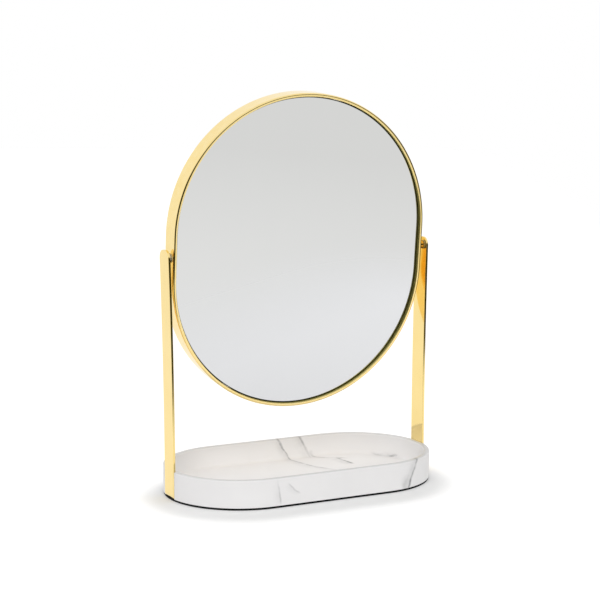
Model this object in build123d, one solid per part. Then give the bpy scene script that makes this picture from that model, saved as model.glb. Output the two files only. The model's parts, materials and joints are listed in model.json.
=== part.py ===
from build123d import *
import math
import os

# Table mirror: a pill-shaped mirror that turns between two flat posts on a tray base.
# Millimetres; +X to the viewer's right, +Y to the back, +Z up; the origin is under the middle of the base.

# Base tray and pad
BASE_LENGTH = 250.0
BASE_WIDTH = 137.0
BASE_HEIGHT = 26.0
PAD_THICKNESS = 1.8
PAD_INSET = 0.4
RIM_WIDTH = 5.0
FLOOR_INSET = 7.4
FLOOR_HEIGHT = 6.4
FLOOR_FILLET = 3.5
RIM_OUTER_FILLET = 1.0
RIM_INNER_FILLET = 1.6

# Posts: flat bar with a turned-in foot under the tray and a slight outward bow above the rim
POST_WIDTH = 20.0
POST_THICKNESS = 2.0
POST_TOP = 217.0
POST_SINK = 0.2
POST_BOW = 2.6
POST_TOP_RADIUS = 8.0
POST_EDGE_FILLET = 0.35
POST_BEND_RADIUS = 2.2
FOOT_LENGTH = 13.0
SLOT_CLEARANCE = 0.1

# Foot screws
FOOT_SCREW_RADIUS = 1.25
FOOT_SCREW_HEAD_RADIUS = 2.4
FOOT_SCREW_LENGTH = 9.0
FOOT_SCREW_TIP = 1.5
FOOT_SCREW_SPACING = 11.0
FOOT_SCREW_SETBACK = 2.6

# Mirror frame: a rolled band, rounder on its outer edges; its pivot lies a little behind the posts' middle
FRAME_WIDTH = 243.0
FRAME_HEIGHT = 280.0
FRAME_DEPTH = 20.0
FRAME_THICKNESS = 3.0
FRAME_FRONT = 9.0
FRAME_OUTER_FILLET = 1.5
FRAME_INNER_FILLET = 0.5
PIVOT_HEIGHT = 209.5
PIVOT_SETBACK = 1.2
TILT_DEGREES = 5.8

# Glass, tape and backing board, stacked from the front edge backwards
GLASS_RECESS = 3.6
GLASS_THICKNESS = 2.0
GLASS_GAP = 0.35
GLASS_EDGE_CHAMFER = 0.3
TAPE_THICKNESS = 1.0
TAPE_INSET = 16.0
TAPE_WIDTH = 12.0
BOARD_THICKNESS = 3.0
BOARD_GAP = 0.4
NOTCH_WIDTH = 14.0
NOTCH_DEPTH = 12.0

# Tabs inside the band, and the screws through them
TAB_THICKNESS = 1.5
TAB_WIDTH = 16.0
TAB_LENGTH = 17.0
TAB_ANGLE = 45.0
TAB_SCREW_RADIUS = 1.5
COVER_SCREW_INSET = 5.0
BOARD_SCREW_INSET = 12.0
SCREW_HEAD_RADIUS = 2.8
SCREW_HEAD_HEIGHT = 1.4
BOARD_SCREW_LENGTH = 5.5

# Back cover
COVER_THICKNESS = 1.0
COVER_GAP = 0.15
COVER_REAR_RECESS = 2.0
COVER_EDGE_FILLET = 0.8
COVER_NOTCH_DEPTH = 4.5

# Pivot stack on each side, from the post inwards
STUD_RADIUS = 1.5
STUD_COLLAR_RADIUS = 3.4
STUD_OVERHANG = 0.7
RUNNING_CLEARANCE = 0.05
AXIAL_CLEARANCE = 0.1
FRICTION_WASHER_RADIUS = 4.0
FRICTION_WASHER_THICKNESS = 1.5
BUSH_RADIUS = 2.5
BUSH_FLANGE_RADIUS = 3.2
BUSH_FLANGE_THICKNESS = 1.0
FLAT_WASHER_RADIUS = 3.1
FLAT_WASHER_THICKNESS = 0.6
SPRING_WASHER_RADIUS = 2.8
SPRING_WASHER_THICKNESS = 0.8
SPRING_WASHER_SPLIT = 0.7
SPRING_WASHER_SLANT = 25.0
NUT_ACROSS_FLATS = 5.5
NUT_HEIGHT = 2.4
NUT_CROWN_RADIUS = 2.5
NUT_CROWN_HEIGHT = 1.0

# The plane of the posts' outer faces, just inside the ends of the base
POST_FACE = BASE_LENGTH / 2 - POST_SINK

# Places in the mirror's own frame: local X across, local Y up, local Z out of the glass, origin at the pivot
FRAME_BACK = FRAME_FRONT - FRAME_DEPTH
GLASS_FRONT = FRAME_FRONT - GLASS_RECESS
GLASS_BACK = GLASS_FRONT - GLASS_THICKNESS
BOARD_FRONT = GLASS_BACK - TAPE_THICKNESS
BOARD_BACK = BOARD_FRONT - BOARD_THICKNESS
TAB_BACK = BOARD_BACK - TAB_THICKNESS
COVER_BACK = FRAME_BACK + COVER_REAR_RECESS
COVER_FRONT = COVER_BACK + COVER_THICKNESS
BAND_ARC_RADIUS = FRAME_WIDTH / 2 - FRAME_THICKNESS
BAND_ARC_CENTRE = (FRAME_HEIGHT - FRAME_WIDTH) / 2

# Places along the pivot axis on the right-hand side
BAND_OUTER = FRAME_WIDTH / 2
BAND_INNER = BAND_OUTER - FRAME_THICKNESS
COLLAR_FACE = BAND_OUTER + AXIAL_CLEARANCE + FRICTION_WASHER_THICKNESS
BUSH_END = BAND_INNER - BUSH_FLANGE_THICKNESS
FLAT_WASHER_FACE = BUSH_END - AXIAL_CLEARANCE
SPRING_WASHER_FACE = FLAT_WASHER_FACE - FLAT_WASHER_THICKNESS
NUT_FACE = SPRING_WASHER_FACE - SPRING_WASHER_THICKNESS
NUT_END = NUT_FACE - NUT_HEIGHT - NUT_CROWN_HEIGHT
STUD_END = NUT_END - STUD_OVERHANG

tilt = math.radians(TILT_DEGREES)
mirror_place = Plane(
    origin=(0, PIVOT_SETBACK, PIVOT_HEIGHT),
    x_dir=(1, 0, 0),
    z_dir=(0, -math.cos(tilt), -math.sin(tilt)),
)


def base_pill(inset):
    """The base's plan outline, drawn in by the given distance."""
    return SlotOverall(BASE_LENGTH - 2 * inset, BASE_WIDTH - 2 * inset)


def frame_pill(inset):
    """The frame's front outline, drawn in by the given distance."""
    return SlotOverall(FRAME_HEIGHT - 2 * inset, FRAME_WIDTH - 2 * inset, rotation=90)


def slab(sketch, low, high):
    """A sketch made solid between two levels of its own Z axis."""
    return Pos(0, 0, low) * extrude(sketch, high - low)


def rod(radius, start, end):
    """A cylinder along the X axis between two places on it."""
    return Pos((start + end) / 2, 0, 0) * Rot(0, 90, 0) * Cylinder(radius, end - start)


def washer(radius, bore, start, end):
    """A plain washer about the X axis."""
    return rod(radius, start, end) - rod(bore, start, end)


def at_pivot(shape):
    """A piece of the right-hand pivot, moved from the X axis to the pivot."""
    return Pos(0, PIVOT_SETBACK, PIVOT_HEIGHT) * shape


def mirrored(shape):
    """The left-hand twin of a right-hand piece."""
    return mirror(shape, about=Plane.YZ)


def foot_screw():
    """Countersunk screw standing on the pad's level, point upwards."""
    head_height = FOOT_SCREW_HEAD_RADIUS - FOOT_SCREW_RADIUS
    outline = Polyline(
        (0, 0),
        (FOOT_SCREW_HEAD_RADIUS, 0),
        (FOOT_SCREW_RADIUS, head_height),
        (FOOT_SCREW_RADIUS, FOOT_SCREW_LENGTH - FOOT_SCREW_TIP),
        (0, FOOT_SCREW_LENGTH),
        close=True,
    )
    return revolve(Plane.XZ * make_face(outline), Axis.Z)


def foot_screws():
    """The two screws in the right-hand foot."""
    screw = foot_screw()
    x = POST_FACE - POST_THICKNESS - FOOT_SCREW_SETBACK
    places = [Pos(x, side * FOOT_SCREW_SPACING / 2, PAD_THICKNESS) for side in (-1, 1)]
    return [place * screw for place in places]


def post_bar(width, thickness=POST_THICKNESS, side=Side.LEFT):
    """Right-hand bar of the given width: foot, bend, upright let into the tray, bowed stretch above the rim.

    Its thickness lies inside the line of the outer face, or with Side.RIGHT outside it.
    """
    rise = POST_TOP - BASE_HEIGHT
    bow_radius = (rise**2 + POST_BOW**2) / (2 * POST_BOW)
    bow_angle = math.degrees(math.asin(rise / bow_radius))
    foot_tip = POST_FACE - FOOT_LENGTH
    foot = Line((foot_tip, PAD_THICKNESS), (POST_FACE - POST_BEND_RADIUS, PAD_THICKNESS))
    bend = JernArc(foot @ 1, foot % 1, POST_BEND_RADIUS, 90)
    upright = Line(bend @ 1, (POST_FACE, BASE_HEIGHT))
    bow = JernArc(upright @ 1, upright % 1, bow_radius, -bow_angle)
    outer_face = Wire([foot, bend, upright, bow])
    profile = make_face(offset(outer_face, thickness, side=side))
    return extrude(Plane.XZ * profile, width / 2, both=True)


def post(screws):
    """Right-hand post: the bar with its top corners rounded, its long edges eased and its foot drilled."""
    bar = post_bar(POST_WIDTH)
    top = bar.faces().sort_by(Axis.Z)[-1]
    corners = top.edges().filter_by(lambda edge: edge.length < POST_WIDTH / 2)
    bar = fillet(corners, POST_TOP_RADIUS)
    along_sides = bar.edges().filter_by(lambda edge: edge.length > POST_THICKNESS + POST_EDGE_FILLET)
    across = along_sides.filter_by(Axis.Y).sort_by(Axis.Z)[:-2]
    bar = fillet(along_sides - across, POST_EDGE_FILLET)
    for screw in screws:
        bar = bar - screw
    return bar


def base_tray(screws):
    """Cast tray: pill-shaped block with a drafted recess, slots for the posts and holes for the foot screws."""
    body = slab(base_pill(0), PAD_THICKNESS, BASE_HEIGHT)
    mouth = Pos(0, 0, BASE_HEIGHT) * base_pill(RIM_WIDTH)
    floor = Pos(0, 0, FLOOR_HEIGHT) * base_pill(FLOOR_INSET)
    recess = loft([floor.face(), mouth.face()], ruled=True)
    recess = fillet(recess.edges().group_by(Axis.Z)[0], FLOOR_FILLET)
    body = body - recess
    rim = body.faces().sort_by(Axis.Z)[-1]
    body = fillet(rim.inner_wires()[0].edges(), RIM_INNER_FILLET)
    rim = body.faces().sort_by(Axis.Z)[-1]
    body = fillet(rim.outer_wire().edges(), RIM_OUTER_FILLET)
    slot_width = POST_WIDTH + 2 * SLOT_CLEARANCE
    outside = post_bar(slot_width, RIM_WIDTH, Side.RIGHT)
    for cutter in [post_bar(slot_width), outside, *screws]:
        body = body - cutter - mirrored(cutter)
    return body


def pivot_stud(post_shape):
    """Stud whose collar is welded to the post's inner face, so it is trimmed to that face."""
    collar_end = POST_FACE + POST_BOW - POST_THICKNESS / 2
    collar = rod(STUD_COLLAR_RADIUS, COLLAR_FACE, collar_end)
    shank = rod(STUD_RADIUS, STUD_END, COLLAR_FACE)
    return at_pivot(collar + shank) - post_shape


def friction_washer():
    bore = STUD_RADIUS + RUNNING_CLEARANCE
    return at_pivot(washer(FRICTION_WASHER_RADIUS, bore, BAND_OUTER + AXIAL_CLEARANCE, COLLAR_FACE))


def pivot_bush():
    """Flanged bush pressed into the band from inside; it turns on the stud with the mirror."""
    body = rod(BUSH_RADIUS, BAND_INNER, BAND_OUTER) + rod(BUSH_FLANGE_RADIUS, BUSH_END, BAND_INNER)
    bore = rod(STUD_RADIUS + RUNNING_CLEARANCE, BUSH_END, BAND_OUTER)
    return at_pivot(body - bore)


def flat_washer():
    bore = STUD_RADIUS + RUNNING_CLEARANCE
    return at_pivot(washer(FLAT_WASHER_RADIUS, bore, SPRING_WASHER_FACE, FLAT_WASHER_FACE))


def spring_washer():
    """Split spring washer, pressed flat, with its slanting split at the top."""
    ring = washer(SPRING_WASHER_RADIUS, STUD_RADIUS + RUNNING_CLEARANCE, NUT_FACE, SPRING_WASHER_FACE)
    through = Box(
        SPRING_WASHER_RADIUS,
        SPRING_WASHER_SPLIT,
        SPRING_WASHER_RADIUS,
        align=(Align.CENTER, Align.CENTER, Align.MIN),
    )
    middle = (NUT_FACE + SPRING_WASHER_FACE) / 2
    split = Pos(middle, 0, STUD_RADIUS / 2) * Rot(0, 0, SPRING_WASHER_SLANT) * through
    return at_pivot(ring - split)


def lock_nut():
    """Hexagon nut with the round crown that holds its locking ring."""
    hexagon = RegularPolygon(NUT_ACROSS_FLATS / 2, 6, major_radius=False)
    body = Rot(0, -90, 0) * extrude(hexagon, NUT_HEIGHT)
    body = Pos(NUT_FACE, 0, 0) * body
    crown = rod(NUT_CROWN_RADIUS, NUT_END, NUT_FACE - NUT_HEIGHT)
    return at_pivot(body + crown - rod(STUD_RADIUS, NUT_END, NUT_FACE))


def side_notches(width, depth, low, high):
    """Cutters that clear the two pivot stacks inside the band."""
    notch = Box(2 * depth, width, high - low)
    return [Pos(side * BAND_INNER, 0, (low + high) / 2) * notch for side in (-1, 1)]


def tab_places(inset):
    """The four tab places, as locations whose X axis points out to the band; inset from its inner face."""
    places = []
    for x_side in (-1, 1):
        for y_side in (-1, 1):
            angle = TAB_ANGLE if x_side > 0 else 180 - TAB_ANGLE
            centre = Pos(0, y_side * BAND_ARC_CENTRE, 0) * Rot(0, 0, y_side * angle)
            places.append(centre * Pos(BAND_ARC_RADIUS - inset, 0, 0))
    return places


def cover_screws():
    """Dome-headed screws through the back cover into the tabs."""
    dome_radius = (SCREW_HEAD_RADIUS**2 + SCREW_HEAD_HEIGHT**2) / (2 * SCREW_HEAD_HEIGHT)
    dome = Pos(0, 0, COVER_BACK - SCREW_HEAD_HEIGHT + dome_radius) * Sphere(dome_radius)
    head = dome & slab(Circle(SCREW_HEAD_RADIUS), COVER_BACK - SCREW_HEAD_HEIGHT, COVER_BACK)
    screw = head + slab(Circle(TAB_SCREW_RADIUS), COVER_BACK, BOARD_BACK)
    return [place * screw for place in tab_places(COVER_SCREW_INSET)]


def board_screws():
    """Countersunk screws through the board into the tabs, heads flush under the glass."""
    head_height = SCREW_HEAD_RADIUS - TAB_SCREW_RADIUS
    head = Pos(0, 0, BOARD_FRONT - head_height / 2) * Cone(TAB_SCREW_RADIUS, SCREW_HEAD_RADIUS, head_height)
    shank = slab(Circle(TAB_SCREW_RADIUS), BOARD_FRONT - BOARD_SCREW_LENGTH, BOARD_FRONT - head_height)
    return [place * (head + shank) for place in tab_places(BOARD_SCREW_INSET)]


def mirror_frame():
    """Rolled band with eased edges and a hole in each straight side for its bush."""
    band = slab(frame_pill(0), FRAME_BACK, FRAME_FRONT) - slab(
        frame_pill(FRAME_THICKNESS), FRAME_BACK, FRAME_FRONT
    )
    for end in (0, -1):
        edge_face = band.faces().sort_by(Axis.Z)[end]
        band = fillet(edge_face.outer_wire().edges(), FRAME_OUTER_FILLET)
        edge_face = band.faces().sort_by(Axis.Z)[end]
        band = fillet(edge_face.inner_wires()[0].edges(), FRAME_INNER_FILLET)
    return band - rod(BUSH_RADIUS, -FRAME_WIDTH, FRAME_WIDTH)


def mirror_glass():
    pane = slab(frame_pill(FRAME_THICKNESS + GLASS_GAP), GLASS_BACK, GLASS_FRONT)
    return chamfer(pane.edges().group_by(Axis.Z)[-1], GLASS_EDGE_CHAMFER)


def glass_tape():
    """Closed ring of foam tape between the board and the glass."""
    ring = frame_pill(TAPE_INSET) - frame_pill(TAPE_INSET + TAPE_WIDTH)
    return slab(ring, BOARD_FRONT, GLASS_BACK)


def backing_board(screws):
    board = slab(frame_pill(FRAME_THICKNESS + BOARD_GAP), BOARD_BACK, BOARD_FRONT)
    for cutter in side_notches(NOTCH_WIDTH, NOTCH_DEPTH, BOARD_BACK, BOARD_FRONT) + screws:
        board = board - cutter
    return board


def frame_tabs(screws):
    """Four tabs trimmed to the band's inner face, each with two threaded holes."""
    inside = slab(frame_pill(FRAME_THICKNESS), TAB_BACK, BOARD_BACK)
    blank = Pos(-TAB_LENGTH / 2, 0, (TAB_BACK + BOARD_BACK) / 2) * Box(
        TAB_LENGTH + TAB_THICKNESS, TAB_WIDTH, TAB_THICKNESS
    )
    tabs = []
    for place in tab_places(0):
        tab = (place * blank) & inside
        for screw in screws:
            tab = tab - screw
        tabs.append(tab)
    return tabs


def back_cover(screws):
    """Shallow pan: flat back, and a rim that reaches forward to the tabs and is cut away round the pivot nuts."""
    outer = FRAME_THICKNESS + COVER_GAP
    pan = slab(frame_pill(outer), COVER_BACK, TAB_BACK)
    pan = pan - slab(frame_pill(outer + COVER_THICKNESS), COVER_FRONT, TAB_BACK)
    pan = fillet(pan.edges().group_by(Axis.Z)[0], COVER_EDGE_FILLET)
    notch_floor = TAB_BACK - COVER_NOTCH_DEPTH
    for cutter in side_notches(NOTCH_WIDTH, NOTCH_DEPTH, notch_floor, TAB_BACK) + screws:
        pan = pan - cutter
    return pan


right_screws = foot_screws()
right_post = post(right_screws)
right_side = {
    "post": [right_post],
    "foot_screws": right_screws,
    "pivot_stud": [pivot_stud(right_post)],
    "friction_washer": [friction_washer()],
    "flat_washer": [flat_washer()],
    "spring_washer": [spring_washer()],
    "lock_nut": [lock_nut()],
}
bush = pivot_bush()

stand_parts = {
    "base_tray": [base_tray(right_screws)],
    "base_pad": [slab(base_pill(PAD_INSET), 0, PAD_THICKNESS)],
}
for name, shapes in right_side.items():
    stand_parts["right_" + name] = shapes
    stand_parts["left_" + name] = [mirrored(shape) for shape in shapes]

long_screws = cover_screws()
short_screws = board_screws()
local_mirror_parts = {
    "mirror_frame": [mirror_frame()],
    "mirror_glass": [mirror_glass()],
    "glass_tape": [glass_tape()],
    "backing_board": [backing_board(short_screws)],
    "frame_tabs": frame_tabs(long_screws + short_screws),
    "board_screws": short_screws,
    "back_cover": [back_cover(long_screws)],
    "cover_screws": long_screws,
}
mirror_parts = {
    name: [mirror_place * shape for shape in shapes]
    for name, shapes in local_mirror_parts.items()
}
mirror_parts["right_pivot_bush"] = [bush]
mirror_parts["left_pivot_bush"] = [mirrored(bush)]

os.makedirs("parts", exist_ok=True)
for name, shapes in {**stand_parts, **mirror_parts}.items():
    solids = [solid for shape in shapes for solid in shape.solids()]
    node = solids[0] if len(solids) == 1 else Compound(children=solids)
    export_step(node, f"parts/{name}.step")
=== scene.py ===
import json
import math
from collections import namedtuple

import bmesh
import bpy
import mathutils
import numpy as np
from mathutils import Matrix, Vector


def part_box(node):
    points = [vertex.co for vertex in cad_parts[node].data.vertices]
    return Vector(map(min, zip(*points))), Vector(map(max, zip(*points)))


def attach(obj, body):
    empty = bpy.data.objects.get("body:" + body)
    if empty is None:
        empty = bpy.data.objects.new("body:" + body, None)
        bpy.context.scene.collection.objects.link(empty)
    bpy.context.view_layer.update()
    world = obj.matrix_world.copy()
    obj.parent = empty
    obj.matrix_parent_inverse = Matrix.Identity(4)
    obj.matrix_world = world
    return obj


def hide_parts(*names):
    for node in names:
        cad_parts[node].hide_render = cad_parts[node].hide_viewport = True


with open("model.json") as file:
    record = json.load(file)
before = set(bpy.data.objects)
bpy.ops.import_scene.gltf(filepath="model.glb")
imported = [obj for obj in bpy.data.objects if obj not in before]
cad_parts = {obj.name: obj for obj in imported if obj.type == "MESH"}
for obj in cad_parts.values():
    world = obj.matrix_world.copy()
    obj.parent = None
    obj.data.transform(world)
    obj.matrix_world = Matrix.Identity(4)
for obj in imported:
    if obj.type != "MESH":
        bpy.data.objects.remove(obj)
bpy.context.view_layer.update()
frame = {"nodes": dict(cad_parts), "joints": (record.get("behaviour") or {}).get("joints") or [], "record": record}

# Table mirror: a pill-shaped glass in a gold band, turning between two flat posts on a marble-effect tray.
# Metres; +X to the viewer's right, -Y to the viewer, +Z up.

MM = 0.001

# Tray and pad
PAD_INSET = 0.4 * MM
PAD_EDGE_RADIUS = 0.5 * MM
BASE_HALF_LENGTH = 125.0 * MM
BASE_HALF_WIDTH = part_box("base_tray")[1].y
TRAY_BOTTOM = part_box("base_tray")[0].z
TRAY_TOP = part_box("base_tray")[1].z
RIM_WIDTH = 5.0 * MM
RIM_OUTER_RADIUS = 1.0 * MM
RIM_INNER_RADIUS = 1.6 * MM
FLOOR_INSET = 7.4 * MM
FLOOR_HEIGHT = 6.4 * MM
FLOOR_RADIUS = 3.5 * MM
FLAT_MIDDLE_INSET = 3 * FLOOR_INSET
TRAY_FOOT_RADIUS = 0.4 * MM
SLOT_HALF_WIDTH = 10.1 * MM

# Posts
POST_HALF_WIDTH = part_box("right_post")[1].y
POST_FOOT_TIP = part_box("right_post")[0].x
POST_THICKNESS = 2.0 * MM
POST_SINK = 0.2 * MM
POST_FACE = BASE_HALF_LENGTH - POST_SINK
POST_RISE = 191.0 * MM
POST_BOW = 2.6 * MM
POST_BEND_RADIUS = 2.2 * MM
POST_TOP_RADIUS = 8.0 * MM
POST_EDGE_RADIUS = 0.35 * MM

# Band and glass, measured along the glass's own axes from the pivot
PIVOT_SETBACK = frame["joints"][0]["pos_m"][1]
PIVOT_HEIGHT = frame["joints"][0]["pos_m"][2]
TILT = math.radians(5.8)
BAND_HALF_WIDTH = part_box("mirror_frame")[1].x
BAND_HALF_HEIGHT = 140.0 * MM
BAND_FRONT = 9.0 * MM
BAND_BACK = -11.0 * MM
BAND_THICKNESS = 3.0 * MM
BAND_OUTER_RADIUS = 1.5 * MM
BAND_INNER_RADIUS = 0.5 * MM
BUSH_RADIUS = 2.5 * MM
GLASS_INSET = 3.35 * MM
GLASS_FRONT = 5.4 * MM
GLASS_BACK = 3.4 * MM
GLASS_CHAMFER = 0.6 * MM
GLASS_ARRIS = 0.06 * MM
GLASS_MIDDLE_INSET = 6.0 * MM

# The quarter turn that stands a level pill outline up
UPRIGHT = np.array([[0.0, 1.0], [-1.0, 0.0]])

# Back cover screws
COVER_BACK = -9.0 * MM
SCREW_HEAD_RADIUS = 2.8 * MM
SCREW_HEAD_HEIGHT = 1.4 * MM
SCREW_INSET = 5.0 * MM
SCREW_SLOT_WIDTH = 0.75 * MM
SCREW_SLOT_LENGTH = 1.7 * MM
SCREW_SLOT_DEPTH = 0.8 * MM
SCREW_SLOT_SLOPE = SCREW_SLOT_WIDTH / 4
SCREW_HEAD_RINGS = 40
SCREW_HEAD_MIDDLE = 0.02

# Pivot pieces, along X on the right-hand side
WASHER_INNER_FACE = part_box("right_friction_washer")[0].x
WASHER_OUTER_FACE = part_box("right_friction_washer")[1].x
WASHER_RADIUS = 4.0 * MM
WASHER_BORE = 1.55 * MM
WASHER_EDGE_RADIUS = 0.4 * MM
WASHER_BORE_EDGE_RADIUS = 0.1 * MM
STUD_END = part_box("right_pivot_stud")[0].x
STUD_RADIUS = 1.5 * MM
COLLAR_END = POST_FACE + POST_BOW - POST_THICKNESS / 2
COLLAR_RADIUS = 3.4 * MM
COLLAR_EDGE_RADIUS = 0.5 * MM
COLLAR_ROOT_RADIUS = 0.125 * MM

# Steps along curves
END_STEPS = 96
BAND_END_STEPS = 180
CORNER_STEPS = 8
BOW_STEPS = 40
TURN_STEPS = 64

# The photograph's view
CAMERA_PLACE = (-646.2 * MM, -1289.4 * MM, 370.6 * MM)
CAMERA_YAW = 0.4656
CAMERA_PITCH = 0.1409
CAMERA_LENS = 98.85
CAMERA_SENSOR = 36.0
TO_CAMERA = np.array([-math.sin(CAMERA_YAW), -math.cos(CAMERA_YAW), 0.0])
TO_RIGHT = np.array([math.cos(CAMERA_YAW), -math.sin(CAMERA_YAW), 0.0])

# Marble: how far the veins are warped, how many half widths the soft shade beside a vein reaches, and what
# all the half widths are multiplied by; then, for each stretch of vein, its middle, the direction across it,
# its half width, its reach along x, y and z (lengths in millimetres) and its darkness
VEIN_WARP = 10.0 * MM
VEIN_SHADE = 5.0
VEIN_WIDER = 2.4
VEINS = (
    # over the back wall and across the tray's floor
    ((16.5, 63, 14), (1.0, 0.0, 0.55), 0.8, (22, 10, 22), 0.60),
    ((17.5, 62, 13), (1.0, 0.0, 0.55), 0.6, (7, 8, 6), 0.90),
    ((25, 41, 6.4), (1.0, 0.25, 0.0), 0.9, (30, 30, 7), 0.50),
    ((34, 18.5, 6.4), (1.0, 0.62, 0.0), 0.9, (22, 22, 6), 0.50),
    # beside it, with a short dark stroke at its end
    ((37.5, 63, 15), (1.0, 0.0, 0.48), 0.8, (22, 10, 18), 0.60),
    ((37, 62.5, 16), (1.0, 0.0, 0.48), 0.7, (7, 8, 5), 0.80),
    ((53, 54, 6.4), (0.73, 1.0, 0.0), 0.9, (28, 24, 8), 0.50),
    ((65, 33, 6.4), (1.0, 0.03, 0.0), 1.0, (25, 17, 6), 0.85),
    # in the right-hand corner of the tray's floor
    ((109, 28, 6.5), (1.0, 0.66, 0.0), 0.9, (20, 26, 5), 0.30),
    ((113, 22, 6.4), (1.0, 0.66, 0.0), 0.7, (8, 10, 4), 0.80),
    # down the outside, front right, with a smudge beside it
    ((82.5, -63.3, 15), (1.0, 0.0, -0.42), 0.9, (20, 10, 24), 0.90),
    ((74, -66, 8), (1.0, 0.0, -0.42), 2.6, (10, 8, 9), 0.30),
    # faint ones on the front
    ((-52.8, -68.5, 13), (1.0, 0.0, 0.11), 0.6, (12, 6, 13), 0.35),
    ((-38.6, -68.5, 15.4), (0.82, 0.0, 1.0), 0.6, (10, 6, 8), 0.30),
    # on the back and the two ends
    ((-60, 68.5, 14), (1.0, 0.0, 0.70), 0.9, (45, 5, 40), 0.65),
    ((-74, 68.5, 11), (0.6, 0.0, 1.0), 0.6, (30, 5, 20), 0.40),
    ((70, 68.5, 13), (1.0, 0.0, -0.60), 0.8, (40, 5, 40), 0.55),
    ((-108, 45, 14), (0.75, -0.66, 0.5), 0.8, (6, 6, 30), 0.55),
    ((115.5, 34, 13), (0.5, -0.87, 0.6), 0.8, (6, 6, 30), 0.60),
)

# The marble's colours, and what they are multiplied by on the tray's floor, painted lighter for the light bounced
# inside the tray, and on its rim, painted darker as shade
MARBLE_WHITE = (0.802, 0.793, 0.798, 1)
MARBLE_CLOUD = (0.767, 0.759, 0.764, 1)
MARBLE_VEIN = (0.13, 0.13, 0.14, 1)
MARBLE_PAINTED_LIGHT_INSIDE = 1.16
MARBLE_PAINTED_SHADE_RIM = 0.84

# Gold plate: its range of colour, its rubbed edges, and its colour and roughness on the inside of the band
# beside the glass, which is rougher there and painted dark olive as shade in the gap beside the glass
GOLD_DEEP = (0.95, 0.735, 0.30, 1)
GOLD_LIGHT = (0.965, 0.755, 0.325, 1)
GOLD_RUBBED = (0.98, 0.82, 0.44, 1)
GOLD_PAINTED_SHADE = (0.66, 0.62, 0.18, 1)
PAINTED_SHADE_SHARE = 0.9
UNPOLISHED_ROUGHNESS = 0.5

# Silvered glass: its range of tint, and its ground edge, painted near-black as shade beside the band
SILVER_COOL = (0.722, 0.728, 0.742, 1)
SILVER_LIGHT = (0.732, 0.737, 0.750, 1)
GROUND_EDGE_PAINTED_SHADE = (0.10, 0.11, 0.10, 1)
GROUND_EDGE_ROUGHNESS = 0.3

# Studio: where the floor fades out in front and on the camera's right, its reach behind and on the left, its
# own glow as seen, as seen in the base's soft shade, and as mirrored at the back and in front, the shade's
# shift and reach, the softbox and the weaker fill, which no metal shows, the sky, and the dark room in front
# and on the right
FLOOR_FRONT_FADE = (0.20, 0.46)
FLOOR_RIGHT_FADE = (0.50, 0.80)
FLOOR_FAR = 6.0
FLOOR_SIDE = 4.0
FLOOR_GLOW_SEEN = 0.42
FLOOR_GLOW_SHADE = 0.11
FLOOR_GLOW_BACK = 0.31
FLOOR_GLOW_FRONT = 0.22
SHADE_SHIFT = (-0.008, -0.017, 0.0)
SHADE_REACH = 0.032
LIGHTS_AIM = (0.0, 0.0, 0.05)
SOFTBOX_PLACE = (-0.9, -1.9, 0.55)
SOFTBOX_SIZE = 1.4
SOFTBOX_POWER = 18.0
FILL_PLACE = (1.1, -1.5, 0.35)
FILL_SIZE = 1.0
FILL_POWER = 5.5
SKY_BRIGHT = 1.0
SKY_TOP = 0.95
SKY_TOP_HEIGHT = (0.4, 0.9)
ROOM_COLOUR = (0.047, 0.044, 0.013, 1)
ROOM_AZIMUTH = math.radians(43)
ROOM_EDGE = (-0.18, 0.12)
ROOM_HEIGHT = (0.2, 0.6)

# What the glass and the band show where the floor has faded out: a pale sheet, its reach and its brightness
SHEET_REACH = 3.0
SHEET_LIFT = 1.0 * MM
SHEET_NEAR = 1.02
SHEET_FAR = 0.865
SHEET_DIMS = (0.2, 1.25)
SHEET_SIDE_FADE = (0.19, 0.25)

# Points closer than this are one point, and edges sharper than this angle stay sharp
MERGE_DISTANCE = 0.002 * MM
SHARP_ANGLE = math.radians(50)

# Each surface carries a mask: rubbed wear on the gold's outer edges, and painted light and shade on the marble,
# the band's inside and the glass's edge
Surface = namedtuple("Surface", "points rows_close columns_close wear")


def rounded_line(corners, radii, closed=False):
    """A line of straight runs whose corners are turned by arcs.

    An arc of radius r at a corner that turns by an angle a starts r * tan(a / 2) before the corner, and its
    points are the arc's centre plus r times a spoke that swings evenly through a. Returns the points and, for
    each, 1 on an arc that turns clockwise (an outer edge) and 0 elsewhere.
    """
    corners = np.array(corners, float)
    before = np.roll(corners, 1, axis=0)
    after = np.roll(corners, -1, axis=0)
    points, outer_edge = [], []
    for index, (corner, radius) in enumerate(zip(corners, radii)):
        at_end = not closed and index in (0, len(corners) - 1)
        if radius == 0 or at_end:
            points.append(corner[None])
            outer_edge.append(np.zeros(1))
            continue
        arriving = (corner - before[index]) / np.linalg.norm(corner - before[index])
        leaving = (after[index] - corner) / np.linalg.norm(after[index] - corner)
        turn = math.atan2(arriving[0] * leaving[1] - arriving[1] * leaving[0], arriving @ leaving)
        left = np.array([-arriving[1], arriving[0]]) * np.sign(turn)
        start = corner - arriving * radius * math.tan(abs(turn) / 2)
        swing = np.linspace(0, abs(turn), CORNER_STEPS + 1)[:, None]
        points.append(start + radius * (left * (1 - np.cos(swing)) + arriving * np.sin(swing)))
        outer_edge.append(np.full(CORNER_STEPS + 1, float(turn < 0)))
    return np.concatenate(points), np.concatenate(outer_edge)


def pill_path(half_length, half_width, steps):
    """Once round a pill outline, counter-clockwise from the right-hand end, and the outward normals.

    Two half circles of radius half_width have their centres half_length - half_width either side of the
    middle; a point is its centre plus half_width times the normal (cos, sin).
    """
    half_turn = np.linspace(-math.pi / 2, math.pi / 2, steps + 1)
    angle = np.concatenate([half_turn, half_turn + math.pi])
    normals = np.stack([np.cos(angle), np.sin(angle)], axis=-1)
    end = np.repeat([1.0, -1.0], len(half_turn))
    centres = np.stack([end * (half_length - half_width), 0 * end], axis=-1)
    return centres + half_width * normals, normals


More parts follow.
